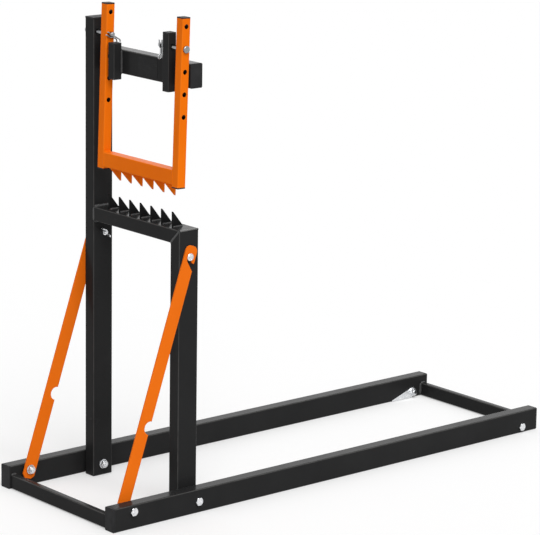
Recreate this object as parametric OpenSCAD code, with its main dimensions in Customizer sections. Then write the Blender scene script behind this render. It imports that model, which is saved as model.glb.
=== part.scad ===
// Folding log saw stand: a low base of two rails, a folding frame with a toothed rest,
// a swinging toothed jaw pinned over it, and two hooked braces that hold the frame upright.
// Millimetres. +X runs along the rails from the brace end, +Y to the tall upright, +Z up.
// The origin is on the ground, midway along and across the base.

/* [Shown part] */
// Sub-part to show, or "all"

/* [Base] */
// Length of the base over the rail end caps
base_l = 1206; // [1000:1:1500]
// Width of the base over the rails
base_w = 394; // [350:1:480]
// Rail tube width
rail_w = 30; // [25:1:40]
// Rail tube height
rail_h = 50; // [40:1:60]
// Wall of the large tubes
wall = 2; // [1.5:0.1:3]
// Outside corner radius of the large tubes
corner_r = 3; // [2.5:0.1:4]
// Cross tube depth along the rails
cross_d = 15; // [12:1:25]
// Cross tube height
cross_h = 30; // [20:1:40]
// Height of the cross tubes off the ground
cross_z = 1; // [0:0.5:5]
// Near cross tube, set in from the rail end
near_inset = 3.5; // [3:0.5:20]
// Far cross tube, set in from the rail end
far_inset = 6; // [3:0.5:20]

/* [Uprights] */
// Centre of the uprights, in from the brace end of the rails
upright_in = 217; // [180:0.5:300]
// Upright tube width along the rails
upright_d = 50; // [40:1:60]
// Upright tube width across the base
upright_w = 30; // [25:1:40]
// Space between a rail and an upright, taken up by the pivot sleeve
side_gap = 7.5; // [7:0.1:9]
// Height of the upright pivot bolts
pivot_z = 25; // [20:0.5:28]
// Lower end of the uprights
upright_z = 1; // [0.5:0.5:8]
// Top of the tall upright, over its cap
tall_top = 989; // [900:1:1150]
// Top of the short upright and crossbar
short_top = 591; // [550:1:700]
// Proud edge of the tall upright's cap
cap_lip = 0.5; // [0.2:0.1:1]

/* [Toothed rest] */
// Teeth on the crossbar
rest_teeth = 7; // [5:1:9]
// First crossbar tooth, from the tall upright
rest_left_gap = 38.6; // [25:0.1:50]
// Last crossbar tooth, from the short upright's outer face
rest_right_gap = 37.7; // [35:0.1:50]
// Length of a crossbar tooth along the rails
rest_tooth_l = 27; // [20:0.5:32]
// Height of a crossbar tooth
rest_tooth_h = 32; // [20:0.5:40]
// Upright edge of the crossbar teeth, before the upright's centre
rest_tooth_back = 14; // [10:0.5:18]
// Thickness of every tooth
tooth_t = 4; // [3:0.5:6]
// Blunt width at a tooth's tip
tooth_tip = 1.2; // [0.6:0.1:2]

/* [Top beam] */
// Beam tube width along the rails
beam_d = 30; // [25:1:40]
// Beam tube height
beam_h = 50; // [40:1:60]
// Top of the beam below the top of the tall upright
beam_down = 59; // [50:0.5:90]
// Free end of the beam, over its cap, short of the front rail's inner face
beam_end_gap = 0.6; // [0.5:0.1:10]
// Width of the small square tubes: stubs and jaw arms
small_w = 20; // [18:1:24]
// Wall of the small tubes
small_wall = 1.5; // [1.2:0.1:2]
// Outside corner radius of the small tubes
small_r = 1.7; // [1.7:0.1:2.5]
// Left stub, from the tall upright
left_stub_gap = 49.5; // [45:0.5:60]
// Lower end of both stubs below the beam, over the caps
stub_below = 11.5; // [8:0.5:20]
// Top of the left stub above the beam, over its cap
left_stub_above = 14; // [8:0.5:18]
// Right stub, in from the beam's free end
right_stub_in = 46.4; // [35:0.1:50]
// Top of the right stub above the beam, over its cap
right_stub_above = 58.5; // [50:0.5:70]
// Label width on the beam
label_w = 63; // [40:1:80]
// Label height on the beam
label_h = 40; // [30:1:44]
// Label thickness
label_t = 0.4; // [0.3:0.1:0.6]
// Middle of the label, off the beam's middle towards its free end
label_off = 9; // [0:0.1:30]

/* [Jaw] */
// Height of the jaw pins above the beam
pin_above = 30; // [30:0.5:40]
// Space between the jaw arms and the beam's face
jaw_clear = 0.5; // [0.3:0.1:1]
// Lean of the hanging jaw, lower end towards the brace end, in degrees
jaw_lean = 1.7; // [0.5:0.1:2.5]
// Left jaw arm, from the tall upright
jaw_left_gap = 24.5; // [12:0.5:26]
// Right jaw arm, in from the beam's free end
jaw_right_in = 2.8; // [0.5:0.1:8]
// Top of an arm above the pin, over its cap
arm_up = 64; // [55:1:75]
// Space between the tips of the jaw teeth and of the crossbar teeth, before the jaw leans
tip_gap = 34; // [20:0.5:60]
// Spacing of the height holes in the arms
hole_pitch = 45.5; // [40:0.5:55]
// Height holes below the pinned one
holes_below = 3; // [2:1:4]
// Height of the jaw bar
bar_h = 30; // [25:1:40]
// Depth of the jaw bar, from the arms' front faces
bar_d = 25; // [20:0.5:28]
// Underside of the jaw bar, above the arm's lower end
bar_up = 6.5; // [4:0.5:12]
// Teeth under the jaw bar
jaw_teeth_n = 6; // [4:1:7]
// First jaw tooth, from the right arm
jaw_tooth_right = 21.5; // [15:0.5:40]
// Last jaw tooth, from the left arm
jaw_tooth_left = 25.5; // [15:0.5:40]
// Length of a jaw tooth along the rails
jaw_tooth_l = 27; // [20:0.5:30]
// Height of a jaw tooth
jaw_tooth_h = 27.5; // [20:0.5:34]

/* [Pins and clips] */
// Pin diameter
pin_d = 10; // [8:0.5:12]
// Pin end past its clip
pin_past = 7; // [5:0.5:9]
// Pin head diameter
pin_head_d = 15; // [13:0.5:20]
// Pin head thickness
pin_head_t = 4; // [3:0.1:4]
// Clip wire diameter
wire_d = 2.9; // [2.4:0.1:3]
// Left clip's middle plane, from the jaw arm
clip_off = 3; // [2.5:0.1:5]
// Slope of the left clip below level, in degrees
left_clip_tilt = 30; // [20:1:31]
// Straight leg past the pin's centre
clip_tip = 10; // [9:0.5:12]
// Pin centre to the end of the neck, where the wire turns into the eye
clip_neck_x = 16; // [14:0.5:18]
// Eye radius to the middle of the wire
clip_eye_r = 4.25; // [4:0.05:5]
// Space from the straight leg to the bent leg, between wire middles
clip_neck = 3.25; // [3.25:0.05:3.75]
// Turn of the eye past the straight leg, in degrees
clip_eye_turn = 135; // [120:1:150]
// Bend from the eye into the neck, to the middle of the wire
clip_neck_r = 3; // [2:0.1:4]
// Bend from the neck out to the hump, to the middle of the wire
clip_hump_r = 2; // [1.8:0.1:3]
// Length of the bent leg past the hump
clip_free = 11; // [9:0.5:13]

/* [Braces] */
// Brace bar width
brace_w = 30; // [25:1:35]
// Brace bar thickness
brace_t = 3; // [2:0.1:3]
// Brace pivot, in from the brace end of the rails
brace_in = 48.5; // [40:0.5:70]
// Brace pivot height
brace_z = 36.8; // [34:0.1:37]
// Hook bolts below the top of the short upright
hook_down = 56.5; // [50:0.5:90]
// Bar past the pivot at the lower end
brace_foot = 20; // [16:0.5:25]
// Bar past the hook bolt at the top
hook_top = 23.5; // [20:0.5:28]
// Corner radius of the hook end
hook_r = 12; // [8:0.5:14]
// Corner cut of the lower end
foot_cut = 7; // [4:0.5:10]
// Radius of the notch that clears the upright's pivot
notch_r = 14; // [12:0.5:15]
// Slot width in the hook
slot_w = 9; // [8.6:0.1:10]
// Space between a brace and its upright
brace_gap = 0.5; // [0.3:0.1:0.8]
// Straight side of the slot, away from the finger, below the bolt
slot_back_down = 9.4; // [8:0.1:11]
// Straight side of the slot, along the finger, below the bolt
slot_finger_down = 4.5; // [3:0.1:6]
// Inner corner of the finger's tip, from the bar's middle
finger_in = 9.5; // [8:0.1:11]
// Tip of the hook's finger below the bolt
finger_down = 11.5; // [8:0.5:13]
// Lower corner of the slot's mouth below the bolt
mouth_down = 27.7; // [25:0.1:32]

/* [Fasteners] */
// Thread of the pivot and end bolts
bolt_d = 10; // [8:1:12]
// Bolt head across flats
head_af = 16; // [13:1:18]
// Bolt head height
head_h = 6; // [4:0.1:7]
// Flange nut across flats
nut_af = 15; // [13:1:18]
// Flange nut height
nut_h = 8; // [7:0.1:12]
// Flange diameter
flange_d = 20; // [18:0.5:22]
// Flange thickness
flange_t = 2; // [1.5:0.1:3]
// Bolt end past its nut
bolt_past = 2; // [1:0.1:5]
// Pivot sleeve diameter
sleeve_d = 18; // [15:0.5:20]
// Hook bolt diameter
hook_d = 8; // [6:0.5:8]
// Hook bolt head diameter
hook_head_d = 16; // [14:0.5:18]
// Hook bolt head thickness
hook_head_t = 3; // [2:0.1:3]
// Hook bolt length past the upright's inner face
hook_past = 13; // [10:0.5:16]
// Wing nut span, tip to tip
wing_span = 32; // [26:0.5:36]
// Wing nut thickness of a wing
wing_t = 3; // [2:0.1:4]
// Wing nut hub diameter at the foot
hub_d = 14; // [12:0.5:16]
// Wing nut hub height
hub_h = 8; // [6:0.1:10]
// Radius of a wing's tip, as a share of the span
wing_tip_share = 0.14; // [0.1:0.01:0.18]
// Start of a wing from the axis, as a share of the hub
wing_root_share = 0.25; // [0.2:0.01:0.3]
// Turn of the wing nuts, in degrees
wing_turn = 45; // [0:5:90]

/* [Far end] */
// End bolt, in from the far end of the rails
end_in = 49.5; // [35:0.5:60]
// End bolt height
end_z = 14.5; // [13:0.5:20]
// Plate radius round the end bolt
plate_r = 11; // [10:0.5:12]
// Plate reach along the rail
plate_l = 64; // [50:1:80]
// Blunt height of the plate's tip
plate_tip = 2.5; // [1:0.5:5]
// Underside of the plate
plate_low = 1.5; // [1:0.1:4]
// Plate thickness
plate_t = 3; // [2:0.1:4]

/* [Fits and caps] */
// Visible thickness of the large end caps
cap_t = 3; // [2:0.1:4]
// Visible thickness of the small end caps
small_cap_t = 2.5; // [2:0.1:3]
// Depth of a cap's plug
plug_l = 14; // [8:0.5:20]
// Space round a cap's plug
plug_clear = 0.1; // [0.05:0.05:0.3]
// Running space round a shaft, on the radius
fit = 0.05; // [0.02:0.01:0.09]
// Space between moving faces
gap = 0.3; // [0.2:0.05:0.4]
// Edge chamfer of bolts, nuts and pins
edge = 1; // [0.5:0.1:1.5]

/* [Hidden] */
$fn = 96;
over = 1;
far = 400;
upright_x = -base_l / 2 + upright_in;
brace_x = -base_l / 2 + brace_in;
end_x = base_l / 2 - end_in;
hook_z = short_top - hook_down;
outer_y = base_w / 2 - rail_w - side_gap;
inner_y = outer_y - upright_w;
rail_in_y = base_w / 2 - rail_w;
rest_first_y = -outer_y + rest_right_gap;
rest_pitch = (inner_y - rest_left_gap - rest_first_y) / (rest_teeth - 1);
beam_z = tall_top - beam_down - beam_h;
beam_end_y = beam_end_gap - rail_in_y;
stub_z = beam_z - stub_below;
left_stub_y = inner_y - left_stub_gap - small_w;
left_stub_top = beam_z + beam_h + left_stub_above;
right_stub_y = beam_end_y + right_stub_in;
right_stub_top = beam_z + beam_h + right_stub_above;
label_y = (inner_y + beam_end_y) / 2 - label_off;
pin_z = beam_z + beam_h + pin_above;
jaw_left_y = inner_y - jaw_left_gap;
jaw_right_y = beam_end_y + jaw_right_in;
arm_down = pin_z - short_top - rest_tooth_h - tip_gap - jaw_tooth_h + bar_up;
jaw_first_y = jaw_right_y + small_w + jaw_tooth_right;
jaw_pitch = (jaw_left_y - small_w - jaw_tooth_left - jaw_first_y) / (jaw_teeth_n - 1);
beam_x = upright_x + upright_d / 2 - beam_d / 2;
beam_face_x = beam_x - beam_d / 2;
stub_x = beam_face_x - small_w / 2;
pin_x = stub_x - jaw_clear;
left_clip_y = jaw_left_y - small_w - clip_off;
right_head_y = jaw_right_y - gap;
pin_grip = outer_y - left_clip_y;
pin_l = pin_grip + pin_past;
right_clip_y = right_head_y + pin_grip;
clip_hole_d = wire_d + 2 * gap;
brace_run = upright_x - brace_x;
brace_rise = hook_z - brace_z;
brace_len = sqrt(brace_run * brace_run + brace_rise * brace_rise);
brace_lean = atan2(brace_run, brace_rise);
brace_in_y = outer_y + brace_gap;
brace_out_y = brace_in_y + brace_t;
hook_head_y = brace_out_y + gap;
hump_r = pin_d / 2 + wire_d / 2 + gap;
notch_u = brace_run;
wing_tip_r = wing_span * wing_tip_share;
wing_reach = wing_span / 2 - wing_tip_r;
wing_root = hub_d * wing_root_share;

black = "#2a2a2c";
orange = "#e8690f";
zinc = "#c9ccd1";
plastic = "#17171a";

// Rounded rectangle, centred
module rrect(a, b, r) {
  square([a - 2 * r, b], center = true);
  square([a, b - 2 * r], center = true);
  for (i = [-1, 1], j = [-1, 1])
    translate([i * (a / 2 - r), j * (b / 2 - r)]) circle(r);
}

// Square-section tube standing on the ground plane
module tube(l, a, b, t, r) {
  linear_extrude(l) difference() {
    rrect(a, b, r);
    rrect(a - 2 * t, b - 2 * t, r - t);
  }
}

// End cap: a plate over the tube's end and a plug inside it, plug downwards
module cap(a, b, t, r, w, lip) {
  linear_extrude(t) rrect(a + 2 * lip, b + 2 * lip, r);
  translate([0, 0, -plug_l]) linear_extrude(plug_l + t / 2)
    rrect(a - 2 * w - 2 * plug_clear, b - 2 * w - 2 * plug_clear, r - w);
}

module along_x() { rotate([0, 90, 0]) children(); }
module along_y() { rotate([-90, 0, 0]) children(); }
module both_sides() { children(); mirror([0, 1, 0]) children(); }

// Round hole right through, across the base
module bore(x, z, d) {
  translate([x, -far, z]) along_y() cylinder(h = 2 * far, d = d);
}

// Six-sided block with its outer corners turned off
module hex(af, h) {
  intersection() {
    cylinder(h = h, d = af / cos(30), $fn = 6);
    union() {
      cylinder(h = h - edge, d = af + 2 * edge + 2 * over);
      translate([0, 0, h - edge])
        cylinder(h = edge, d1 = af + 2 * edge + edge, d2 = af);
    }
  }
}

// Plain shank with a turned end
module shank(d, l) {
  cylinder(h = l - edge, d = d);
  translate([0, 0, l - edge]) cylinder(h = edge, d1 = d, d2 = d - 2 * edge);
}

// Hex bolt, head outside, shank running inwards
module bolt_in(x, z, l) {
  translate([x, base_w / 2, z]) {
    along_y() hex(head_af, head_h);
    mirror([0, 1, 0]) along_y() shank(bolt_d, l);
  }
}

// Flange nut with its flange at y0, standing inwards
module nut_in(x, z, y0) {
  translate([x, y0, z]) mirror([0, 1, 0]) along_y() difference() {
    union() {
      cylinder(h = flange_t, d = flange_d);
      hex(nut_af, nut_h);
    }
    translate([0, 0, -over]) cylinder(h = nut_h + 2 * over, d = bolt_d + 2 * fit);
  }
}

module rail(side) {
  difference() {
    translate([-base_l / 2 + cap_t, side * (base_w / 2 - rail_w / 2), rail_h / 2])
      along_x() tube(base_l - 2 * cap_t, rail_h, rail_w, wall, corner_r);
    bore(brace_x, brace_z, bolt_d + 2 * fit);
    bore(upright_x, pivot_z, bolt_d + 2 * fit);
    bore(end_x, end_z, bolt_d + 2 * fit);
  }
}

module rear_rail() { color(black) rail(1); }
module front_rail() { color(black) rail(-1); }

module rail_caps() {
  color(plastic) for (s = [-1, 1])
    translate([0, s * (base_w / 2 - rail_w / 2), rail_h / 2]) {
      translate([base_l / 2 - cap_t, 0, 0])
        along_x() cap(rail_h, rail_w, cap_t, corner_r, wall, 0);
      translate([-base_l / 2 + cap_t, 0, 0]) mirror([1, 0, 0])
        along_x() cap(rail_h, rail_w, cap_t, corner_r, wall, 0);
    }
}

module cross_tube(x) {
  translate([x, -rail_in_y, cross_z + cross_h / 2])
    along_y() tube(2 * rail_in_y, cross_d, cross_h, wall, corner_r);
}

module near_cross_tube() { color(black) cross_tube(-base_l / 2 + near_inset + cross_d / 2); }
module far_cross_tube() { color(black) cross_tube(base_l / 2 - far_inset - cross_d / 2); }

module brace_bolts() {
  color(zinc) both_sides()
    bolt_in(brace_x, brace_z, base_w / 2 - brace_in_y + gap + nut_h + bolt_past);
}
module brace_nuts() { color(zinc) both_sides() nut_in(brace_x, brace_z, brace_in_y - gap); }

module spacer(x, z, y0, d) {
  translate([x, y0, z]) along_y() difference() {
    cylinder(h = rail_in_y - y0, d = d);
    translate([0, 0, -over]) cylinder(h = far, d = bolt_d + 2 * fit);
  }
}

module brace_spacers() {
  color(zinc) both_sides() spacer(brace_x, brace_z, brace_out_y + gap, flange_d);
}

module pivot_bolts() {
  color(zinc) both_sides()
    bolt_in(upright_x, pivot_z, base_w / 2 - inner_y + gap + nut_h + bolt_past);
}
module pivot_nuts() { color(zinc) both_sides() nut_in(upright_x, pivot_z, inner_y - gap); }
module pivot_sleeves() {
  color(zinc) both_sides() spacer(upright_x, pivot_z, outer_y + gap, sleeve_d);
}

module end_bolts() {
  color(zinc) both_sides()
    bolt_in(end_x, end_z, rail_w + plate_t + nut_h + bolt_past);
}
module end_nuts() { color(zinc) both_sides() nut_in(end_x, end_z, rail_in_y - plate_t); }

// Light three-cornered plate under the end nut, tapering along the rail's foot
module plate_shape() {
  run = plate_l;
  rise = end_z - plate_low - plate_tip;
  reach = sqrt(run * run + rise * rise);
  a = atan2(rise, run) + asin(plate_r / reach);
  t = sqrt(reach * reach - plate_r * plate_r);
  difference() {
    union() {
      circle(plate_r);
      polygon([[-run, plate_low - end_z], [0, plate_low - end_z], [0, 0],
        [-run + t * cos(a), -rise + t * sin(a)], [-run, -rise]]);
    }
    translate([-far, -far - end_z + plate_low]) square([2 * far, far]);
    circle(d = bolt_d + 2 * fit);
  }
}

module end_plates() {
  color(zinc) both_sides()
    translate([end_x, rail_in_y, end_z]) rotate([90, 0, 0]) linear_extrude(plate_t)
      plate_shape();
}

// Half-space beside the 45 degree mitre of the short upright and crossbar
module mitre(side) {
  translate([upright_x, -outer_y, short_top]) rotate([45, 0, 0])
    translate([-far, side > 0 ? 0 : -far, -far]) cube([2 * far, far, 2 * far]);
}

module tall_upright() {
  color(black) difference() {
    translate([upright_x, outer_y - upright_w / 2, upright_z + small_cap_t])
      tube(tall_top - cap_t - upright_z - small_cap_t, upright_d, upright_w, wall, corner_r);
    bore(upright_x, pivot_z, bolt_d + 2 * fit);
    bore(upright_x, hook_z, hook_d + 2 * fit);
    bore(pin_x, pin_z, pin_d + 2 * fit);
  }
}

module short_upright() {
  color(black) difference() {
    translate([upright_x, -outer_y + upright_w / 2, upright_z + small_cap_t])
      tube(short_top - upright_z - small_cap_t, upright_d, upright_w, wall, corner_r);
    mitre(1);
    bore(upright_x, pivot_z, bolt_d + 2 * fit);
    bore(upright_x, hook_z, hook_d + 2 * fit);
  }
}

module upright_caps() {
  color(plastic) {
    translate([upright_x, outer_y - upright_w / 2, tall_top - cap_t])
      cap(upright_d, upright_w, cap_t, corner_r, wall, cap_lip);
    for (s = [-1, 1])
      translate([upright_x, s * (outer_y - upright_w / 2), upright_z]) {
        linear_extrude(small_cap_t) rrect(upright_d, upright_w, corner_r);
        linear_extrude(small_cap_t + (pivot_z - bolt_d - upright_z) / 2)
          rrect(upright_d - 2 * wall - 2 * plug_clear,
            upright_w - 2 * wall - 2 * plug_clear, corner_r - wall);
      }
  }
}

module crossbar() {
  color(black) difference() {
    translate([upright_x, -outer_y, short_top - upright_w / 2])
      along_y() tube(outer_y + inner_y, upright_d, upright_w, wall, corner_r);
    mitre(-1);
  }
}

// Flat tooth, its upright edge at zero and its slope towards +X
module tooth(l, h) {
  translate([0, tooth_t / 2, 0]) rotate([90, 0, 0]) linear_extrude(tooth_t)
    polygon([[0, 0], [l, 0], [tooth_tip, h], [0, h]]);
}

module rest_tooth_row() {
  color(black) for (i = [0 : rest_teeth - 1])
    translate([upright_x - rest_tooth_back, rest_first_y + i * rest_pitch, short_top])
      tooth(rest_tooth_l, rest_tooth_h);
}

module beam() {
  color(black)
    translate([beam_x, beam_end_y + cap_t, beam_z + beam_h / 2])
      along_y() tube(inner_y - beam_end_y - cap_t, beam_d, beam_h, wall, corner_r);
}

module beam_cap() {
  color(plastic)
    translate([beam_x, beam_end_y + cap_t, beam_z + beam_h / 2]) mirror([0, 1, 0])
      along_y() cap(beam_d, beam_h, cap_t, corner_r, wall, 0);
}

module label_plate() {
  color(plastic)
    translate([beam_face_x, label_y, beam_z + beam_h / 2]) rotate([0, -90, 0])
      linear_extrude(label_t) rrect(label_h, label_w, corner_r);
}

module stub(y, top) {
  translate([stub_x, y + small_w / 2, stub_z + small_cap_t])
    tube(top - stub_z - 2 * small_cap_t, small_w, small_w, small_wall, small_r);
}

module left_stub() { color(black) stub(left_stub_y, left_stub_top); }
module right_stub() {
  color(black) difference() {
    stub(right_stub_y, right_stub_top);
    bore(pin_x, pin_z, pin_d + 2 * fit);
  }
}

module small_cap() { cap(small_w, small_w, small_cap_t, small_r, small_wall, 0); }

module stub_caps() {
  color(plastic) for (s = [[left_stub_y, left_stub_top], [right_stub_y, right_stub_top]])
    translate([stub_x, s[0] + small_w / 2, 0]) {
      translate([0, 0, s[1] - small_cap_t]) small_cap();
      translate([0, 0, stub_z + small_cap_t]) mirror([0, 0, 1]) small_cap();
    }
}

// Headed pin: head outwards, cross hole for the clip's straight leg
module pin(tilt) {
  difference() {
    union() {
      mirror([0, 1, 0]) along_y() shank(pin_d, pin_l);
      along_y() cylinder(h = pin_head_t - edge, d = pin_head_d);
      translate([0, pin_head_t - edge, 0]) along_y()
        cylinder(h = edge, d1 = pin_head_d, d2 = pin_head_d - 2 * edge);
    }
    translate([0, -pin_grip, 0]) rotate([0, tilt, 0]) translate([-pin_d, 0, 0])
      along_x() cylinder(h = 2 * pin_d, d = clip_hole_d);
  }
}

module left_pin() {
  color(zinc) translate([pin_x, outer_y, pin_z]) pin(left_clip_tilt);
}
module right_pin() {
  color(zinc) translate([pin_x, right_head_y, pin_z]) mirror([0, 1, 0]) pin(90);
}

module hook_bolts() {
  color(zinc) both_sides() translate([upright_x, hook_head_y, hook_z]) {
    along_y() cylinder(h = hook_head_t - edge, d = hook_head_d);
    translate([0, hook_head_t - edge, 0]) along_y()
      cylinder(h = edge, d1 = hook_head_d, d2 = hook_head_d - 2 * edge);
    mirror([0, 1, 0]) along_y() shank(hook_d, hook_head_y - inner_y + hook_past);
  }
}

// Jaw pieces are drawn about the pin and then leaned
module hang() { translate([pin_x, 0, pin_z]) rotate([0, jaw_lean, 0]) children(); }

module arm(y0) {
  difference() {
    translate([0, y0 + small_w / 2, -arm_down + small_cap_t])
      tube(arm_up + arm_down - 2 * small_cap_t, small_w, small_w, small_wall, small_r);
    for (i = [-holes_below : 1]) bore(0, i * hole_pitch, pin_d + 2 * fit);
  }
}

module jaw_left_arm() { color(orange) hang() arm(jaw_left_y - small_w); }
module jaw_right_arm() { color(orange) hang() arm(jaw_right_y); }

module jaw_bar() {
  color(orange) hang()
    translate([bar_d / 2 - small_w / 2, jaw_right_y + small_w, -arm_down + bar_up + bar_h / 2])
      along_y() tube(jaw_left_y - jaw_right_y - 2 * small_w, bar_d, bar_h,
        small_wall, small_r);
}

module jaw_tooth_row() {
  color(orange) hang() for (i = [0 : jaw_teeth_n - 1])
    translate([jaw_tooth_l - small_w / 2, jaw_first_y + i * jaw_pitch, -arm_down + bar_up])
      rotate([0, 180, 0]) tooth(jaw_tooth_l, jaw_tooth_h);
}

module jaw_caps() {
  color(plastic) hang() for (y = [jaw_left_y - small_w / 2, jaw_right_y + small_w / 2])
    translate([0, y, 0]) {
      translate([0, 0, arm_up - small_cap_t]) small_cap();
      translate([0, 0, -arm_down + small_cap_t]) mirror([0, 0, 1]) small_cap();
    }
}

// Flat bar with a pivot hole, a notch for the upright's pivot and an open hook
module brace_shape() {
  half = brace_w / 2;
  top_y = brace_len + hook_top - hook_r;
  difference() {
    union() {
      polygon([[-half, foot_cut - brace_foot], [foot_cut - half, -brace_foot],
        [half - foot_cut, -brace_foot], [half, foot_cut - brace_foot],
        [half, top_y], [-half, top_y]]);
      for (s = [-1, 1]) translate([s * (half - hook_r), top_y]) circle(hook_r);
      translate([hook_r - half, top_y]) square([brace_w - 2 * hook_r, hook_r]);
    }
    circle(d = bolt_d + 2 * fit);
    translate([half, notch_u]) circle(notch_r);
    translate([0, brace_len]) {
      circle(d = slot_w);
      polygon([[-slot_w / 2, 0], [slot_w / 2, 0], [slot_w / 2, -slot_finger_down],
        [finger_in, -finger_down], [half + over, -finger_down],
        [half + over, -mouth_down - over], [half, -mouth_down],
        [-slot_w / 2, -slot_back_down]]);
    }
  }
}

module brace() {
  translate([brace_x, brace_out_y, brace_z]) rotate([0, brace_lean, 0]) rotate([90, 0, 0])
    linear_extrude(brace_t) brace_shape();
}

module rear_brace() { color(orange) brace(); }
module front_brace() { color(orange) mirror([0, 1, 0]) brace(); }

// Wing nut standing up from the ground plane
module wing_nut() {
  side = wing_tip_r * [cos(60), -sin(60)];
  tip = [wing_reach, hub_h + edge];
  difference() {
    union() {
      cylinder(h = hub_h, d1 = hub_d, d2 = hub_d - 2 * edge);
      for (s = [0, 180]) rotate([0, 0, s]) translate([0, wing_t / 2, 0]) rotate([90, 0, 0])
        linear_extrude(wing_t) {
          translate(tip) circle(wing_tip_r);
          polygon([[wing_root, edge], tip + side, tip - side, [wing_root, hub_h - edge]]);
        }
    }
    translate([0, 0, -over]) cylinder(h = far, d = hook_d + 2 * fit);
  }
}

module wing_at() {
  translate([upright_x, inner_y - gap, hook_z]) rotate([0, wing_turn, 0]) rotate([90, 0, 0])
    wing_nut();
}

module rear_wing_nut() { color(zinc) wing_at(); }
module front_wing_nut() { color(zinc) mirror([0, 1, 0]) wing_at(); }

// Round wire between two points of the clip's plane
module wire(a, b) {
  d = b - a;
  translate([a[0], 0, a[1]]) rotate([0, 90 - atan2(d[1], d[0]), 0])
    cylinder(h = norm(d), d = wire_d);
}

// Bent wire from one angle to another about a point of the clip's plane
module bend(c, r, from, sweep) {
  translate([c[0], 0, c[1]]) rotate([90, 0, 0]) rotate([0, 0, from])
    rotate_extrude(angle = sweep) translate([r, 0]) circle(d = wire_d);
}

// Point at an angle on a circle of the clip's plane
function on_arc(c, r, a) = c + r * [cos(a), sin(a)];

// Spring clip about the pin's centre: straight leg along +X, bent leg hugging the pin;
// every bend runs on smoothly from the wire before it
module clip() {
  $fn = 48;
  neck_a = 180 - clip_eye_turn;
  neck = [clip_neck_x, -clip_neck - clip_neck_r];
  neck_in = on_arc(neck, clip_neck_r, neck_a);
  eye_rise = neck_in[1] + clip_eye_r + clip_eye_r * sin(clip_eye_turn);
  eye_run = eye_rise / tan(neck_a) - clip_eye_r * cos(clip_eye_turn);
  eye = [neck_in[0] + eye_run, -clip_eye_r];
  rise = clip_neck + clip_hump_r;
  reach = hump_r + clip_hump_r;
  turn = [sqrt(reach * reach - rise * rise), -rise];
  hump_a = atan2(rise, turn[0]);
  wire([-clip_tip, 0], [eye[0], 0]);
  bend(eye, clip_eye_r, -clip_eye_turn, clip_eye_turn + 90);
  wire(on_arc(eye, clip_eye_r, -clip_eye_turn), neck_in);
  bend(neck, clip_neck_r, neck_a, 90 - neck_a);
  wire([clip_neck_x, -clip_neck], [turn[0], -clip_neck]);
  bend(turn, clip_hump_r, 90, 90 - hump_a);
  bend([0, 0], hump_r, -90, 90 - hump_a);
  wire([0, -hump_r], [-clip_free, -hump_r]);
}

module left_clip() {
  color(zinc) translate([pin_x, left_clip_y, pin_z]) rotate([0, left_clip_tilt, 0]) clip();
}
module right_clip() {
  color(zinc) translate([pin_x, right_clip_y, pin_z]) rotate([0, 90, 0]) clip();
}

rear_rail();
front_rail();
rail_caps();
near_cross_tube();
far_cross_tube();
brace_bolts();
brace_nuts();
brace_spacers();
pivot_bolts();
pivot_nuts();
pivot_sleeves();
end_bolts();
end_nuts();
end_plates();
tall_upright();
short_upright();
upright_caps();
crossbar();
rest_tooth_row();
beam();
beam_cap();
label_plate();
left_stub();
right_stub();
stub_caps();
left_pin();
right_pin();
hook_bolts();
jaw_left_arm();
jaw_right_arm();
jaw_bar();
jaw_tooth_row();
jaw_caps();
rear_brace();
front_brace();
rear_wing_nut();
front_wing_nut();
left_clip();
right_clip();
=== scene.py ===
import math

import bmesh
import bpy
from mathutils import Matrix, Vector


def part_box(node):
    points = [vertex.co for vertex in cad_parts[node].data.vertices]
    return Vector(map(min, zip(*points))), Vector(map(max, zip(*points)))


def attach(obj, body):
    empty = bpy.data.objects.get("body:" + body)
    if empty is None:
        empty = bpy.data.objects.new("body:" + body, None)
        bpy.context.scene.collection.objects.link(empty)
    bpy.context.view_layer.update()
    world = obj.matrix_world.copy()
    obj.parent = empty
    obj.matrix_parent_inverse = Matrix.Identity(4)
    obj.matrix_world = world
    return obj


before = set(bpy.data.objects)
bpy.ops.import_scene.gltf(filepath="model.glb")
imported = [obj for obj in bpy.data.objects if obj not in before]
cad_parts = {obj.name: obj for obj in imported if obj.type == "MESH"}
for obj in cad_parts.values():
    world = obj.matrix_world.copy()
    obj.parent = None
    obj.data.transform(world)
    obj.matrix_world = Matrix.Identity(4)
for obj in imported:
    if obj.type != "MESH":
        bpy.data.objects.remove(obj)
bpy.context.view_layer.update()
scene = bpy.context.scene
scene.view_settings.view_transform = "Standard"

# The looks of the log saw stand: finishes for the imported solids, weld beads, floor, light, camera.
# Lengths are in metres, unless a name says otherwise.
X, Y, Z = Vector((1, 0, 0)), Vector((0, 1, 0)), Vector((0, 0, 1))


# ---------------------------------------------------------------- camera
# Solved from edges of the photograph, with the middle of the frame as principal point.
FOCAL_PX = 2801.0866
IMAGE_W_PX = 540.0
SENSOR_MM = 36.0
CLIP_END = 200.0
CAM_PLACE = Vector((-3.8406735, -4.4725385, 1.8292832))
YAW, PITCH, ROLL = (math.radians(a) for a in (49.59956, 13.38680, 0.87997))


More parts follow.
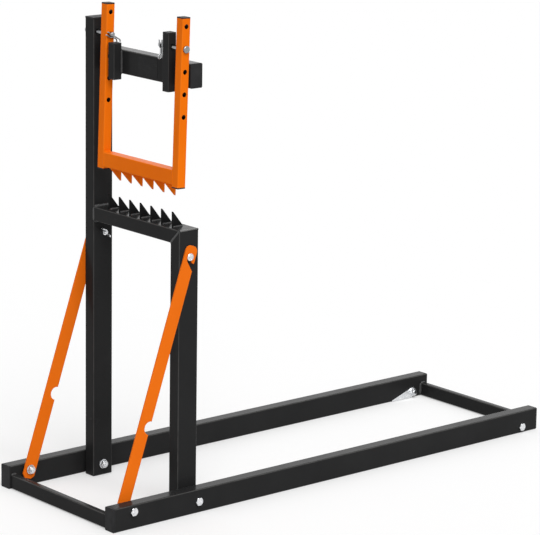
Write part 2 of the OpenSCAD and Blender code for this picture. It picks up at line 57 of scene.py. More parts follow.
def add_camera():
    forward = Vector((math.cos(PITCH) * math.cos(YAW), math.cos(PITCH) * math.sin(YAW),
                      -math.sin(PITCH)))
    right = Vector((math.sin(YAW), -math.cos(YAW), 0.0))
    up = right.cross(forward)
    cam_x = right * math.cos(ROLL) + up * math.sin(ROLL)
    cam_y = up * math.cos(ROLL) - right * math.sin(ROLL)
    data = bpy.data.cameras.new("camera")
    data.sensor_fit = "HORIZONTAL"
    data.sensor_width = SENSOR_MM
    data.lens = SENSOR_MM * FOCAL_PX / IMAGE_W_PX
    data.clip_end = CLIP_END
    camera = bpy.data.objects.new("camera", data)
    axes = Matrix((cam_x, cam_y, -forward)).transposed().to_4x4()
    camera.matrix_world = Matrix.Translation(CAM_PLACE) @ axes
    scene.collection.objects.link(camera)
    scene.camera = camera


add_camera()


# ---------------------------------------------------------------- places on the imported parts
def axis_of(node):
    """X and Z of a part that is round about Y."""
    low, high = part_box(node)
    return (low.x + high.x) / 2, (low.z + high.z) / 2


# the jaw's own axes: it hangs from the pins and leans a little at rest
PIN = Vector((axis_of("left_pin")[0], 0.0, axis_of("left_pin")[1]))
LEAN = math.radians(1.7)
JAW_X = math.cos(LEAN) * X - math.sin(LEAN) * Z
JAW_Z = math.sin(LEAN) * X + math.cos(LEAN) * Z
ARM_MIDDLES = [(low.y + high.y) / 2
               for low, high in (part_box("jaw_left_arm"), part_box("jaw_right_arm"))]


# ---------------------------------------------------------------- node helpers
# sockets of the Mix node that belong to its RGBA type
MIX_FAC, MIX_A, MIX_B, MIX_OUT = 0, 6, 7, 2
BEVEL_SAMPLES = 6
WIDE_SPAN = (0.25, 0.75)
# cosine of a normal's turn from the flat where a mark is full, and where it ends: wear on edges,
# then the painted highlight on round corners
EDGE_FADE = (0.72, 0.97)
CORNER_HIGHLIGHT_FADE = (0.80, 0.97)


def new_material(name):
    mat = bpy.data.materials.new(name)
    mat.use_nodes = True
    tree = mat.node_tree
    shader = next(n for n in tree.nodes if n.type == "BSDF_PRINCIPLED")
    return mat, tree, shader


def add(tree, kind, **props):
    node = tree.nodes.new(kind)
    for key, value in props.items():
        setattr(node, key, value)
    return node


def feed(tree, socket, value):
    """Link a socket's value, or set a constant one."""
    if isinstance(value, bpy.types.NodeSocket):
        tree.links.new(value, socket)
    else:
        socket.default_value = value


def place(tree):
    return add(tree, "ShaderNodeTexCoord").outputs["Object"]


def split(tree, vector):
    """The X, Y and Z outputs of a vector."""
    node = add(tree, "ShaderNodeSeparateXYZ")
    feed(tree, node.inputs[0], vector)
    return node.outputs


def noise(tree, at, scale, detail, rough):
    node = add(tree, "ShaderNodeTexNoise")
    feed(tree, node.inputs["Vector"], at)
    node.inputs["Scale"].default_value = scale
    node.inputs["Detail"].default_value = detail
    node.inputs["Roughness"].default_value = rough
    return node.outputs["Fac"]


def cells(tree, at, scale):
    node = add(tree, "ShaderNodeTexVoronoi")
    feed(tree, node.inputs["Vector"], at)
    node.inputs["Scale"].default_value = scale
    return node.outputs["Color"]


def ramp(tree, fac, *stops):
    """Colour ramp of two stops, each a position and a grey value or an RGB triple."""
    node = add(tree, "ShaderNodeValToRGB")
    feed(tree, node.inputs["Fac"], fac)
    for element, (where, value) in zip(node.color_ramp.elements, stops):
        element.position = where
        rgb = value if isinstance(value, tuple) else (value, value, value)
        element.color = (*rgb, 1.0)
    return node.outputs["Color"]


def mottle(tree, at, scale, low, high, detail=4.0, rough=0.6, span=(0.3, 0.7)):
    """Noise that runs from low to high between the two levels of span."""
    return ramp(tree, noise(tree, at, scale, detail, rough), (span[0], low), (span[1], high))


def math_node(tree, kind, a, b=0.0, clamp=False):
    node = add(tree, "ShaderNodeMath", operation=kind, use_clamp=clamp)
    feed(tree, node.inputs[0], a)
    feed(tree, node.inputs[1], b)
    return node.outputs[0]


def vector_node(tree, kind, a, b=None):
    node = add(tree, "ShaderNodeVectorMath", operation=kind)
    feed(tree, node.inputs[0], a)
    if b is not None:
        feed(tree, node.inputs[1], b)
    return node.outputs["Value" if kind == "DOT_PRODUCT" else "Vector"]


def mix(tree, fac, a, b):
    """Colour between a and b, each a socket or an RGB triple."""
    node = add(tree, "ShaderNodeMix", data_type="RGBA")
    feed(tree, node.inputs[MIX_FAC], fac)
    for index, colour in ((MIX_A, a), (MIX_B, b)):
        feed(tree, node.inputs[index], (*colour, 1.0) if isinstance(colour, tuple) else colour)
    return node.outputs[MIX_OUT]


def bump(tree, height, strength, depth, normal=None):
    node = add(tree, "ShaderNodeBump")
    node.inputs["Strength"].default_value = strength
    node.inputs["Distance"].default_value = depth
    feed(tree, node.inputs["Height"], height)
    if normal is not None:
        feed(tree, node.inputs["Normal"], normal)
    return node.outputs["Normal"]


def grain(tree, at, normal, scale, strength, depth, detail=2.0, rough=0.5):
    """The normal with a fine relief of noise on it."""
    return bump(tree, noise(tree, at, scale, detail, rough), strength, depth, normal)


def rounded(tree, radius):
    node = add(tree, "ShaderNodeBevel", samples=BEVEL_SAMPLES)
    node.inputs["Radius"].default_value = radius
    return node.outputs["Normal"]


def edge_wear(tree, at, soft_normal, scale):
    """1 along worn outer and inner edges, broken up by noise, 0 on the flats."""
    flat = add(tree, "ShaderNodeNewGeometry").outputs["True Normal"]
    bend = vector_node(tree, "DOT_PRODUCT", soft_normal, flat)
    edge = ramp(tree, bend, (EDGE_FADE[0], 1.0), (EDGE_FADE[1], 0.0))
    patchy = mottle(tree, at, scale, low=0.0, high=1.0, rough=0.65, span=(0.42, 0.66))
    return math_node(tree, "MULTIPLY", edge, patchy, clamp=True)


def round_corner_highlight(tree):
    """1 on the rounded long corners of a tube that lies along an axis, 0 on its flats: where the
    coat gets a painted highlight line.
    """
    turned = add(tree, "ShaderNodeVectorTransform", vector_type="NORMAL",
                 convert_from="WORLD", convert_to="OBJECT")
    feed(tree, turned.inputs[0], add(tree, "ShaderNodeNewGeometry").outputs["Normal"])
    part = split(tree, vector_node(tree, "ABSOLUTE", turned.outputs[0]))
    most = math_node(tree, "MAXIMUM", part["X"], part["Y"])
    most = math_node(tree, "MAXIMUM", most, part["Z"])
    return ramp(tree, most, (CORNER_HIGHLIGHT_FADE[0], 1.0), (CORNER_HIGHLIGHT_FADE[1], 0.0))


def inside_tube(tree, at, origin, across, middles, reach):
    """1 inside square tubes that stand side by side along Y, 0 elsewhere.

    across is the tubes' other cross direction, through origin, middles holds the Y of each, and
    reach is how far a tube's inside goes from its middle.
    """
    off = vector_node(tree, "SUBTRACT", at, origin)
    off_x = math_node(tree, "ABSOLUTE", vector_node(tree, "DOT_PRODUCT", off, across))
    near_x = math_node(tree, "LESS_THAN", off_x, reach)
    y = split(tree, at)["Y"]
    near_y = 0.0
    for middle in middles:
        off_y = math_node(tree, "ABSOLUTE", math_node(tree, "SUBTRACT", y, middle))
        near_y = math_node(tree, "ADD", math_node(tree, "LESS_THAN", off_y, reach), near_y)
    return math_node(tree, "MULTIPLY", near_x, near_y)


def thread(tree, at, axis, radius, pitch):
    """Height of a screw thread on the shank within radius of an axis along Y, 0 outside it."""
    part = split(tree, at)
    off_x = math_node(tree, "SUBTRACT", part["X"], axis[0])
    off_z = math_node(tree, "SUBTRACT", part["Z"], axis[1])
    square = math_node(tree, "ADD", math_node(tree, "MULTIPLY", off_x, off_x),
                       math_node(tree, "MULTIPLY", off_z, off_z))
    on_shank = math_node(tree, "LESS_THAN", math_node(tree, "SQRT", square), radius)
    turn = math_node(tree, "ARCTAN2", off_z, off_x)
    run = math_node(tree, "MULTIPLY", part["Y"], 2 * math.pi / pitch)
    ridge = math_node(tree, "SINE", math_node(tree, "ADD", run, turn))
    return math_node(tree, "MULTIPLY", ridge, on_shank)


def dress(tree, shader, colour, rough, normal):
    """Link what varies over a surface to its shader."""
    feed(tree, shader.inputs["Base Color"], colour)
    feed(tree, shader.inputs["Roughness"], rough)
    feed(tree, shader.inputs["Normal"], normal)


# ---------------------------------------------------------------- materials
# how far a coat's roughness goes below and above its middle
GLOSS_LESS, GLOSS_MORE = 0.07, 0.08
# painted highlight on round corners where it is least, as a share of the most
CORNER_HIGHLIGHT_LEAST = 0.45
# mill scale inside tubes that aren't coated there, near black: painted shade inside them
SCALE_AND_SHADE_DARK, SCALE_AND_SHADE_LIGHT = (0.006, 0.0055, 0.005), (0.014, 0.012, 0.011)
ZINC_GRAIN = (0.44, 0.455, 0.48), (0.74, 0.745, 0.75)
ZINC_SPANGLE, SPANGLE_SHARE = ((0.48, 0.495, 0.52), (0.78, 0.785, 0.79)), 0.45
ZINC_WORN = (0.90, 0.90, 0.89)
ZINC_BRIGHTEST = 0.95
CAP_DARK, CAP_BLOOM = (0.014, 0.014, 0.015), (0.026, 0.026, 0.027)
CAP_SCUFF, CAP_SCUFF_SHARE = (0.07, 0.07, 0.07), 0.5
FILM_DARK, FILM_LIGHT = (0.0085, 0.0085, 0.009), (0.0125, 0.0125, 0.013)
FILM_SCRATCH, FILM_SCRATCH_SHARE = (0.06, 0.06, 0.062), 0.25


def coat(name, dark, light, worn, gloss, specular, wear, corners=0.0, bare=None):
    """Powder coat: fine orange peel, faint clouds, rubbed edges, painted highlight lines on round
    corners.

    gloss is the middle of the roughness, wear the share of the worn colour on edges, corners its
    share on the round corners of tubes, where it paints a highlight line, and bare the last
    arguments of inside_tube for tubes that aren't coated inside, which are near black there: painted
    shade.
    """
    mat, tree, shader = new_material(name)
    at = place(tree)
    soft = rounded(tree, radius=0.0012)
    clouds = mottle(tree, at, scale=7.0, low=0.0, high=1.0, detail=5.0)
    share = math_node(tree, "MULTIPLY", edge_wear(tree, at, soft, scale=55.0), wear)
    # the worn colour on the round corners of tubes is a painted highlight line
    if corners:
        corner_highlight_share = mottle(tree, at, scale=38.0, low=CORNER_HIGHLIGHT_LEAST * corners, high=corners)
        painted_corner_highlight = math_node(tree, "MULTIPLY", round_corner_highlight(tree), corner_highlight_share)
        share = math_node(tree, "MAXIMUM", share, painted_corner_highlight)
    colour = mix(tree, share, mix(tree, clouds, dark, light), worn)
    if bare is not None:
        # inside the tubes: bare steel, darkened to paint the shade there
        bare_steel_and_shade = mottle(tree, at, scale=90.0, low=SCALE_AND_SHADE_DARK, high=SCALE_AND_SHADE_LIGHT)
        colour = mix(tree, inside_tube(tree, at, *bare), colour, bare_steel_and_shade)
    rough = mottle(tree, at, scale=24.0, low=gloss - GLOSS_LESS, high=gloss + GLOSS_MORE,
                   detail=6.0, rough=0.62, span=WIDE_SPAN)
    peel = grain(tree, at, soft, scale=240.0, strength=0.12, depth=0.0003)
    specks = grain(tree, at, peel, scale=620.0, strength=0.2, depth=0.0001)
    dress(tree, shader, colour, rough, specks)
    shader.inputs["Specular IOR Level"].default_value = specular
    return mat


def zinc_coat(name, shade=1.0, screw=None):
    """Zinc plating, made lighter or darker by shade, which paints light or shade into it; screw is a
    thread's axis, radius and pitch.
    """

    def tone(rgb):
        return tuple(min(ZINC_BRIGHTEST, shade * c) for c in rgb)

    mat, tree, shader = new_material(name)
    at = place(tree)
    soft = rounded(tree, radius=0.0004)
    dull, clear = (tone(rgb) for rgb in ZINC_GRAIN)
    fine = mottle(tree, at, scale=340.0, low=dull, high=clear)
    dull, clear = (tone(rgb) for rgb in ZINC_SPANGLE)
    spangle = ramp(tree, cells(tree, at, scale=420.0), (0.2, dull), (0.8, clear))
    worn = edge_wear(tree, at, soft, scale=180.0)
    colour = mix(tree, worn, mix(tree, SPANGLE_SHARE, fine, spangle), tone(ZINC_WORN))
    rough = mottle(tree, at, scale=150.0, low=0.10, high=0.28, detail=5.0, span=WIDE_SPAN)
    normal = grain(tree, at, soft, scale=800.0, strength=0.15, depth=0.0001, detail=3.0, rough=0.6)
    if screw is not None:
        normal = bump(tree, thread(tree, at, *screw), strength=0.9, depth=0.0003, normal=normal)
    dress(tree, shader, colour, rough, normal)
    shader.inputs["Metallic"].default_value = 1.0
    return mat


def plastic(name):
    """Moulded black polyethylene caps: fine spark grain, slight bloom, scuffed rims."""
    mat, tree, shader = new_material(name)
    at = place(tree)
    soft = rounded(tree, radius=0.0008)
    bloom = mottle(tree, at, scale=30.0, low=CAP_DARK, high=CAP_BLOOM, detail=5.0, span=(0.3, 0.75))
    scuff = math_node(tree, "MULTIPLY", edge_wear(tree, at, soft, scale=90.0), CAP_SCUFF_SHARE)
    rough = mottle(tree, at, scale=70.0, low=0.48, high=0.64)
    sparks = grain(tree, at, soft, scale=1100.0, strength=0.4, depth=0.00012)
    dress(tree, shader, mix(tree, scuff, bloom, CAP_SCUFF), rough, sparks)
    shader.inputs["Specular IOR Level"].default_value = 0.12
    return mat


def label_film(name):
    """Bare label film: smooth, dark, faintly scratched."""
    mat, tree, shader = new_material(name)
    at = place(tree)
    stretched = add(tree, "ShaderNodeMapping")
    feed(tree, stretched.inputs["Vector"], at)
    stretched.inputs["Rotation"].default_value = (0.5, 0.0, 0.0)
    stretched.inputs["Scale"].default_value = (1.0, 30.0, 900.0)
    scratch = mottle(tree, stretched.outputs["Vector"], scale=1.0, low=0.0, high=1.0,
                     detail=2.0, rough=0.5, span=(0.62, 0.72))
    tint = mottle(tree, at, scale=45.0, low=FILM_DARK, high=FILM_LIGHT)
    share = math_node(tree, "MULTIPLY", scratch, FILM_SCRATCH_SHARE)
    colour = mix(tree, share, tint, FILM_SCRATCH)
    rough = mottle(tree, at, scale=60.0, low=0.16, high=0.3)
    dress(tree, shader, colour, rough, bump(tree, scratch, strength=0.2, depth=0.00005))
    shader.inputs["Specular IOR Level"].default_value = 0.09
    return mat


# worn colour on rubbed edges, and the painted highlight on the round corners of tubes
BLACK_WORN_AND_HIGHLIGHT = (0.085, 0.084, 0.082)
# teeth darker than the tubes' coat: painted shade between the teeth
BLACK = coat("black_coat", dark=(0.0105, 0.0106, 0.0108), light=(0.0140, 0.0141, 0.0143),
             worn=BLACK_WORN_AND_HIGHLIGHT, gloss=0.22, specular=0.022, wear=0.4)
# corners paints highlight lines on the tubes' round corners
BLACK_TUBE = coat("black_coat_tubes", dark=(0.0186, 0.0187, 0.0190),
                  light=(0.0234, 0.0235, 0.0238), worn=BLACK_WORN_AND_HIGHLIGHT, gloss=0.22, specular=0.038,
                  wear=0.5, corners=0.85)
# weld beads lighter than the coat: a painted highlight on them
WELD_BLACK = coat("black_coat_welds", dark=(0.038, 0.038, 0.0385), light=(0.062, 0.062, 0.0625),
                  worn=(0.16, 0.16, 0.157), gloss=0.27, specular=0.3, wear=0.6)
# light grey mitre weld: a painted highlight along the outer corner
WELD_MITRE_HIGHLIGHT = coat("black_coat_mitre_highlight", dark=(0.12, 0.12, 0.119), light=(0.19, 0.19, 0.188),
                    worn=(0.26, 0.26, 0.255), gloss=0.3, specular=0.3, wear=0.6)

# worn colour on rubbed edges, and the painted highlight on the jaw tubes' round corners
ORANGE_WORN_AND_HIGHLIGHT = (0.93, 0.36, 0.07)
JAW_COAT = dict(dark=(0.85, 0.160, 0.0028), light=(0.90, 0.180, 0.0036), worn=ORANGE_WORN_AND_HIGHLIGHT,
                gloss=0.32, specular=0.028, wear=0.4)
ARM_INSIDE = 0.0089
ORANGE = coat("orange_coat", **JAW_COAT)
# corners paints highlight lines on the round corners of the jaw's tubes
ORANGE_TUBE = coat("orange_coat_tubes", **JAW_COAT, corners=0.2,
                   bare=(PIN, JAW_X, ARM_MIDDLES, ARM_INSIDE))
# the jaw's orange a little darker and redder: painted shade on the braces
ORANGE_BAR = coat("orange_coat_braces", dark=(0.82, 0.154, 0.0062), light=(0.88, 0.174, 0.0080),
                  worn=ORANGE_WORN_AND_HIGHLIGHT, gloss=0.34, specular=0.030, wear=0.4)

# just over the radius of the shank, and the pitch of its thread
M10, M8 = (0.0051, 0.0015), (0.0041, 0.00125)
# one zinc, lighter or darker by shade: painted light on plates, nuts, bolts; painted shade on pins,
# clips
PAINTED_LIGHT = 1.25
ZINC = zinc_coat("zinc")
ZINC_PAINTED_LIGHT = zinc_coat("zinc_painted_light", shade=PAINTED_LIGHT)
ZINC_PIN_SHADED = zinc_coat("zinc_pins_shaded", shade=0.46)
ZINC_CLIP_SHADED = zinc_coat("zinc_clips_shaded", shade=0.72)
BRACE_THREAD = zinc_coat("zinc_brace_thread", PAINTED_LIGHT, screw=(axis_of("brace_bolts"), *M10))
PIVOT_THREAD = zinc_coat("zinc_pivot_thread", PAINTED_LIGHT, screw=(axis_of("pivot_bolts"), *M10))
END_THREAD = zinc_coat("zinc_end_thread", PAINTED_LIGHT, screw=(axis_of("end_bolts"), *M10))
HOOK_THREAD = zinc_coat("zinc_hook_thread", shade=1.1, screw=(axis_of("hook_bolts"), *M8))
PLASTIC = plastic("black_plastic")
LABEL = label_film("label")

FINISH = (
    (BLACK, ("rest_tooth_row",)),
    (BLACK_TUBE, ("rear_rail", "front_rail", "near_cross_tube", "far_cross_tube", "tall_upright",
                  "short_upright", "crossbar", "beam", "left_stub", "right_stub")),
    (ORANGE, ("jaw_tooth_row",)),
    (ORANGE_TUBE, ("jaw_left_arm", "jaw_right_arm", "jaw_bar")),
    (ORANGE_BAR, ("rear_brace", "front_brace")),
    (PLASTIC, ("rail_caps", "upright_caps", "beam_cap", "stub_caps", "jaw_caps")),
    (ZINC, ("brace_nuts", "brace_spacers", "pivot_nuts", "pivot_sleeves")),
    (ZINC_PAINTED_LIGHT, ("end_nuts", "end_plates", "rear_wing_nut", "front_wing_nut")),
    (ZINC_PIN_SHADED, ("left_pin", "right_pin")),
    (ZINC_CLIP_SHADED, ("left_clip", "right_clip")),
    (BRACE_THREAD, ("brace_bolts",)),
    (PIVOT_THREAD, ("pivot_bolts",)),
    (END_THREAD, ("end_bolts",)),
    (HOOK_THREAD, ("hook_bolts",)),
    (LABEL, ("label_plate",)),
)
for material, names in FINISH:
    for name in names:
        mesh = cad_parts[name].data
        if not mesh.materials:
            mesh.materials.append(material)
        for i in range(len(mesh.materials)):
            mesh.materials[i] = material


# ---------------------------------------------------------------- weld beads
# depth of a bead's foot under the faces it lies on, and the length of a ripple
SINK = 0.0003
RIPPLE = 0.0021
STEPS_PER_RIPPLE, FEWEST_STEPS = 6, 10
# points across the face of a bead
FILLET_POINTS, SEAM_POINTS, CORNER_POINTS = 8, 9, 13
# height of the ripples as a share of the bead, and how far a crest lags in the middle, in radians
FILLET_RIPPLE, SEAM_RIPPLE, CORNER_RIPPLE = 0.035, 0.16, 0.14
FILLET_LAG, BUTT_LAG = 1.6, 1.4
# every other ripple of a fillet is higher, by this share of a ripple
UNEVEN = 0.4
# share and length of the slow waves in a bead's size
FILLET_WAVE, FILLET_SHORT_WAVE, BUTT_WAVE = (0.05, 0.0093), (0.03, 0.0041), (0.08, 0.0087)
# length of a bead's tapered end as a share of its leg or width, and its least size there
FILLET_TAPER, BUTT_TAPER = (0.9, 0.45), (0.8, 0.4)
# the part of a corner seam, as shares of its girth, that turns from one face to the other
TURN_FROM, TURN_OVER = 0.3, 0.4


def clamped(value):
    return min(1.0, max(0.0, value))


def stations(start, end):
    """Places along a bead: the point, the distance from its start and that to its nearer end."""
    start, end = Vector(start), Vector(end)
    run = (end - start).length
    steps = max(FEWEST_STEPS, int(run / RIPPLE * STEPS_PER_RIPPLE))
    for k in range(steps + 1):
        s = run * k / steps
        yield start.lerp(end, k / steps), s, min(s, run - s)


def taper(to_end, size, end):
    """Share of a bead's full size at a distance from its end."""
    reach, least = end
    return least + (1.0 - least) * math.sqrt(clamped(to_end / (reach * size)))


def wave(s, shape, seed):
    """Slow wave along a bead."""
    share, length = shape
    return share * math.sin(s / length + seed)


def ripple(s, seed, lag):
    """Fast wave along a bead; lag is how far its crest is behind at a place across the bead."""
    return math.sin(2 * math.pi * s / RIPPLE + seed + lag)


def butt_size(s, to_end, width, seed):
    """Share of the full height of a butt weld, and its width, at a place along it."""
    share = taper(to_end, width, BUTT_TAPER)
    return share, width * share * (1.0 + wave(s, BUTT_WAVE, seed))


def sweep(bm, rings):
    """Closed tube of a list of rings with the same number of points."""
    made = [[bm.verts.new(p) for p in ring] for ring in rings]
    count = len(made[0])
    for one, two in zip(made, made[1:]):
        for k in range(count):
            n = (k + 1) % count
            bm.faces.new((one[k], one[n], two[n], two[k]))
    bm.faces.new(made[0])
    bm.faces.new(list(reversed(made[-1])))


def fillet(bm, start, end, a, b, leg, seed):
    """Rippled fillet weld in the corner of two faces that run off along a and b."""
    rings = []
    for middle, s, to_end in stations(start, end):
        wander = 1.0 + wave(s, FILLET_WAVE, seed) + wave(s, FILLET_SHORT_WAVE, 2.0 * seed)
        size = leg * taper(to_end, leg, FILLET_TAPER) * wander
        uneven = UNEVEN * math.sin(math.pi * s / RIPPLE + 3 * seed)
        ring = []
        for m in range(FILLET_POINTS):
            t = 0.5 * math.pi * m / (FILLET_POINTS - 1)
            rough = FILLET_RIPPLE * (ripple(s, seed, FILLET_LAG * math.sin(2 * t)) + uneven)
            # between a flat and a round face
            r = size * (0.5 / (math.cos(t) + math.sin(t)) + 0.5) * (1.0 + rough)
            ring.append(middle + (a * math.cos(t) + b * math.sin(t)) * r
                        - (b * math.cos(t) + a * math.sin(t)) * SINK * 0.5)
        ring.append(middle - (a + b) * SINK)
        rings.append(ring)
    sweep(bm, rings)


def seam(bm, start, end, across, out, width, height, seed):
    """Low rippled butt weld across a flush joint."""
    rings = []
    for middle, s, to_end in stations(start, end):
        share, wide = butt_size(s, to_end, width, seed)
        ring = [middle - across * (0.5 * wide) - out * SINK]
        for m in range(SEAM_POINTS):
            t = math.pi * (1.0 - m / (SEAM_POINTS - 1))
            bulge = math.sin(t)
            rise = height * share * (1.0 + SEAM_RIPPLE * ripple(s, seed, BUTT_LAG * bulge))
            ring.append(middle + across * (0.5 * wide * math.cos(t)) + out * (rise * bulge))
        ring.append(middle + across * (0.5 * wide) - out * SINK)
        rings.append(ring)
    sweep(bm, rings)


def corner_seam(bm, start, end, a, b, width, height, seed):
    """Rippled weld over an outer corner whose two faces run off along a and b."""
    rings = []
    for middle, s, to_end in stations(start, end):
        share, wide = butt_size(s, to_end, width, seed)
        ring = [middle + (a + b) * SINK]
        for m in range(CORNER_POINTS):
            t = m / (CORNER_POINTS - 1)
            bulge = math.sin(math.pi * t)
            rise = height * share * (1.0 + CORNER_RIPPLE * ripple(s, seed, BUTT_LAG * bulge))
            on_a, on_b = max(0.0, 1.0 - 2.0 * t) * wide, max(0.0, 2.0 * t - 1.0) * wide
            turn = 0.5 * math.pi * clamped((t - TURN_FROM) / TURN_OVER)
            ring.append(middle + a * on_a + b * on_b
                        - (b * math.cos(turn) + a * math.sin(turn)) * (rise * bulge))
        rings.append(ring)
    sweep(bm, rings)


def edge_x(x0, x1, y, z, gap, last_gap=None):
    """Ends of a bead along X, each a gap away from its corner."""
    return (x0 + gap, y, z), (x1 - (last_gap or gap), y, z)


def edge_y(x, y0, y1, z, gap):
    return (x, y0 + gap, z), (x, y1 - gap, z)


def edge_z(x, y, z0, z1, gap, last_gap=None):
    return (x, y, z0 + gap), (x, y, z1 - (last_gap or gap))


def weld_piece(name, build, body, material):
    bm = bmesh.new()
    build(bm)
    bmesh.ops.recalc_face_normals(bm, faces=bm.faces)
    mesh = bpy.data.meshes.new(name)
    bm.to_mesh(mesh)
    bm.free()
    mesh.shade_smooth()
    mesh.materials.append(material)
    piece = bpy.data.objects.new(name, mesh)
    scene.collection.objects.link(piece)
    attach(piece, body)


TALL, SHORT, BAR, BEAM = (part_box(n) for n in ("tall_upright", "short_upright", "crossbar", "beam"))
UP_X0, UP_X1 = TALL[0].x, TALL[1].x
TALL_IN, SHORT_IN, SHORT_OUT = TALL[0].y, SHORT[1].y, SHORT[0].y
BAR_Z0, BAR_Z1 = BAR[0].z, BAR[1].z
BEAM_X0, BEAM_Z0, BEAM_Z1 = BEAM[0].x, BEAM[0].z, BEAM[1].z
STUB_SIDES = [(low.y, high.y) for low, high in (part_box("left_stub"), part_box("right_stub"))]

# gaps from the ends of a bead to the corners of its joint
FINE, GAP, ROUND = 0.001, 0.002, 0.003
# legs of the fillets
BAR_LEG, MITRE_LEG = 0.0042, 0.0052
BEAM_LEG, BEAM_FACE_LEG = 0.004, 0.0035
STUB_SIDE_LEG, STUB_EDGE_LEG = 0.0028, 0.003
TOOTH_LEG = 0.0026
CROSS_TOP_LEG, CROSS_SIDE_LEG = 0.003, 0.0036
JAW_LEG = 0.0032
# width and height of the butt welds
UPRIGHT_SEAM = 0.005, 0.0007
MITRE_SEAM = 0.0045, 0.0006
OUTER_CORNER_SEAM = 0.0026, 0.0009
JAW_SEAM = 0.0045, 0.0005


# The last number of each bead shifts its ripples, so that no two beads are alike.
def frame_joints(bm):
    # crossbar to the tall upright, above and below
    fillet(bm, *edge_x(UP_X0, UP_X1, TALL_IN, BAR_Z1, GAP), -Y, Z, BAR_LEG, 0.3)
    fillet(bm, *edge_x(UP_X0, UP_X1, TALL_IN, BAR_Z0, GAP), -Y, -Z, BAR_LEG, 1.1)
    for x, out, seed in ((UP_X0, -X, 0.5), (UP_X1, X, 1.9)):
        seam(bm, *edge_z(x, TALL_IN, BAR_Z0, BAR_Z1, FINE), Y, out, *UPRIGHT_SEAM, seed)
        # mitre of the crossbar and the short upright
        along = (-Y + Z).normalized()
        corner = Vector((x, SHORT_IN, BAR_Z0))
        tip = Vector((x, SHORT_OUT, BAR_Z1))
        seam(bm, corner + along * GAP, tip - along * GAP, (Y + Z).normalized(), out,
             *MITRE_SEAM, seed + 0.7)
    fillet(bm, *edge_x(UP_X0, UP_X1, SHORT_IN, BAR_Z0, GAP), Y, -Z, MITRE_LEG, 2.2)
    # beam to the tall upright
    fillet(bm, *edge_x(BEAM_X0, UP_X1, TALL_IN, BEAM_Z1, FINE, GAP), -Y, Z, BEAM_LEG, 0.9)
    fillet(bm, *edge_x(BEAM_X0, UP_X1, TALL_IN, BEAM_Z0, FINE, GAP), -Y, -Z, BEAM_LEG, 1.7)
    fillet(bm, *edge_z(BEAM_X0, TALL_IN, BEAM_Z0, BEAM_Z1, FINE), -Y, -X, BEAM_FACE_LEG, 2.6)
    seam(bm, *edge_z(UP_X1, TALL_IN, BEAM_Z0, BEAM_Z1, GAP), Y, X, *UPRIGHT_SEAM, 0.2)
    # stubs to the beam
    for (low, high), seed in zip(STUB_SIDES, (0.4, 1.4)):
        for y, out, shift in ((low, -Y, 0.0), (high, Y, 0.6)):
            fillet(bm, *edge_z(BEAM_X0, y, BEAM_Z0, BEAM_Z1, GAP), out, -X,
                   STUB_SIDE_LEG, seed + shift)
        for z, out, shift in ((BEAM_Z1, Z, 1.2), (BEAM_Z0, -Z, 1.8)):
            fillet(bm, *edge_y(BEAM_X0, low, high, z, FINE), X, out, STUB_EDGE_LEG, seed + shift)


def mitre_joint(bm):
    # light grey weld over the outer corner of the crossbar and the short upright: a painted
    # highlight
    corner_seam(bm, *edge_x(UP_X0, UP_X1, SHORT_OUT, BAR_Z1, GAP), Y, -Z, *OUTER_CORNER_SEAM, 1.3)


TOOTH_HALF = 0.002


def tooth_places(node, count):
    """Middles of evenly spaced teeth."""
    low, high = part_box(node)
    first, last = low.y + TOOTH_HALF, high.y - TOOTH_HALF
    return [first + (last - first) * i / (count - 1) for i in range(count)]


REST_TEETH = tooth_places("rest_tooth_row", count=7)
REST_X0, REST_X1 = (corner.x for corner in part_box("rest_tooth_row"))


def rest_tooth_joints(bm):
    for i, y in enumerate(REST_TEETH):
        for side in (-1, 1):
            fillet(bm, *edge_x(REST_X0, REST_X1, y + side * TOOTH_HALF, BAR_Z1, FINE),
                   Y * side, Z, TOOTH_LEG, 0.7 * i + side)


NEAR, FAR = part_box("near_cross_tube"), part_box("far_cross_tube")
RAIL_IN = NEAR[1].y
CROSS_TUBES = ((NEAR[0].x, NEAR[1].x), (FAR[0].x, FAR[1].x))
CROSS_Z0, CROSS_Z1 = NEAR[0].z, NEAR[1].z


def base_joints(bm):
    for x0, x1 in CROSS_TUBES:
        for side in (-1, 1):
            y, inward, seed = side * RAIL_IN, Y * -side, 0.8 * side + 40 * x0
            fillet(bm, *edge_x(x0, x1, y, CROSS_Z1, FINE), inward, Z, CROSS_TOP_LEG, seed)
            # upright bead on the side that faces the middle of the base
            x, out = (x1, X) if x1 < 0 else (x0, -X)
            fillet(bm, *edge_z(x, y, CROSS_Z0, CROSS_Z1, ROUND, FINE), inward, out,
                   CROSS_SIDE_LEG, seed + 1)


JAW_TEETH = tooth_places("jaw_tooth_row", count=6)
# on the jaw's own axes: edges of its bar, faces of its arms, ends of the beads on arms and teeth
JAW_BAR_Z0, JAW_BAR_Z1 = -0.2755, -0.2455
ARM_FACE, ARM_BEAD_END, TOOTH_BEAD_END = 0.010, 0.009, 0.0145
ARM_SIDES = ((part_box("jaw_right_arm")[1].y, Y), (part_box("jaw_left_arm")[0].y, -Y))


def on_jaw(*ends):
    """Points that are given on the jaw's own axes."""
    return [PIN + JAW_X * x + Y * y + JAW_Z * z for x, y, z in ends]


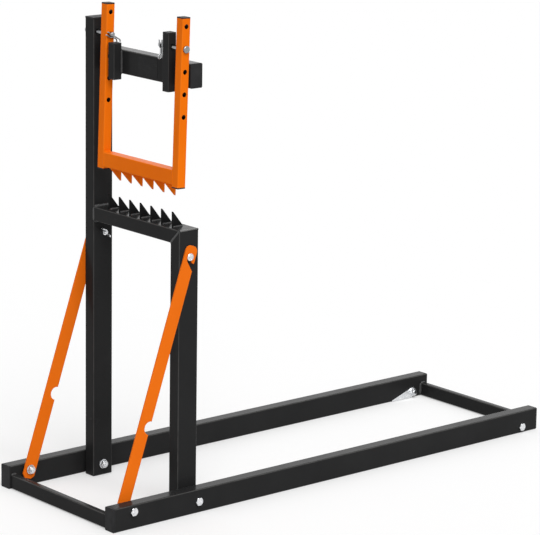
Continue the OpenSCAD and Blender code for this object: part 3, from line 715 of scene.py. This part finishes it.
def jaw_joints(bm):
    for (y, inward), seed in zip(ARM_SIDES, (0.5, 1.5)):
        for z, out, shift in ((JAW_BAR_Z1, JAW_Z, 0), (JAW_BAR_Z0, -JAW_Z, 1)):
            fillet(bm, *on_jaw((-ARM_BEAD_END, y, z), (ARM_BEAD_END, y, z)), inward, out,
                   JAW_LEG, seed + shift)
        back = edge_z(-ARM_FACE, y, JAW_BAR_Z0, JAW_BAR_Z1, FINE)
        seam(bm, *on_jaw(*back), Y, -JAW_X, *JAW_SEAM, seed + 2)
        front = edge_z(ARM_FACE, y, JAW_BAR_Z0, JAW_BAR_Z1, FINE)
        fillet(bm, *on_jaw(*front), -inward, JAW_X, JAW_LEG, seed + 3)
    for i, y in enumerate(JAW_TEETH):
        for side in (-1, 1):
            at = y + side * TOOTH_HALF
            ends = (-ARM_BEAD_END, at, JAW_BAR_Z0), (TOOTH_BEAD_END, at, JAW_BAR_Z0)
            fillet(bm, *on_jaw(*ends), Y * side, -JAW_Z, TOOTH_LEG, 0.9 * i + side)


weld_piece("frame_welds", frame_joints, "frame", WELD_BLACK)
weld_piece("mitre_weld", mitre_joint, "frame", WELD_MITRE_HIGHLIGHT)
weld_piece("rest_tooth_welds", rest_tooth_joints, "frame", WELD_BLACK)
weld_piece("base_welds", base_joints, "base", WELD_BLACK)
weld_piece("jaw_welds", jaw_joints, "jaw", ORANGE)


# ---------------------------------------------------------------- floor and light
WHITE = (1.0, 1.0, 1.0, 1.0)
FLOOR_HALF = 60.0
FLOOR_DROP = 0.0002
FLOOR_GREY = (0.62, 0.62, 0.62, 1.0)
# what camera, glossy and transmission rays see more of, so that the background is white
FLOOR_LIFT, WORLD_LIFT = 0.3, 0.64
WORLD_LEVEL = 0.36
# name, spread in degrees, strength and heading of the lamps
LAMPS = (("key", 50.0, 2.5, (0.2, 0.6, -0.775)),
         ("fill", 70.0, 0.72, (-0.5, -0.55, -0.67)))


def seen_rays(tree):
    """1 for rays that show the background: camera, glossy and transmission rays."""
    path = add(tree, "ShaderNodeLightPath").outputs
    first = math_node(tree, "MAXIMUM", path["Is Camera Ray"], path["Is Glossy Ray"])
    return math_node(tree, "MAXIMUM", first, path["Is Transmission Ray"])


def add_floor():
    mesh = bpy.data.meshes.new("floor")
    corners = [(x * FLOOR_HALF, y * FLOOR_HALF, 0) for x, y in ((-1, -1), (1, -1), (1, 1), (-1, 1))]
    mesh.from_pydata(corners, [], [(0, 1, 2, 3)])
    floor = bpy.data.objects.new("floor", mesh)
    floor.location.z = -FLOOR_DROP
    scene.collection.objects.link(floor)
    mat, tree, shader = new_material("floor")
    shader.inputs["Base Color"].default_value = FLOOR_GREY
    shader.inputs["Roughness"].default_value = 0.9
    shader.inputs["Specular IOR Level"].default_value = 0.0
    shader.inputs["Emission Color"].default_value = WHITE
    lift = math_node(tree, "MULTIPLY", seen_rays(tree), FLOOR_LIFT)
    feed(tree, shader.inputs["Emission Strength"], lift)
    mesh.materials.append(mat)


def add_light():
    world = bpy.data.worlds.new("studio")
    scene.world = world
    world.use_nodes = True
    tree = world.node_tree
    back = next(n for n in tree.nodes if n.type == "BACKGROUND")
    back.inputs["Color"].default_value = WHITE
    lift = math_node(tree, "MULTIPLY", seen_rays(tree), WORLD_LIFT)
    feed(tree, back.inputs["Strength"], math_node(tree, "ADD", lift, WORLD_LEVEL))
    for name, spread, energy, heading in LAMPS:
        data = bpy.data.lights.new(name, "SUN")
        data.angle = math.radians(spread)
        data.energy = energy
        lamp = bpy.data.objects.new(name, data)
        lamp.rotation_euler = Vector(heading).to_track_quat("-Z", "Y").to_euler()
        scene.collection.objects.link(lamp)


add_floor()
add_light()
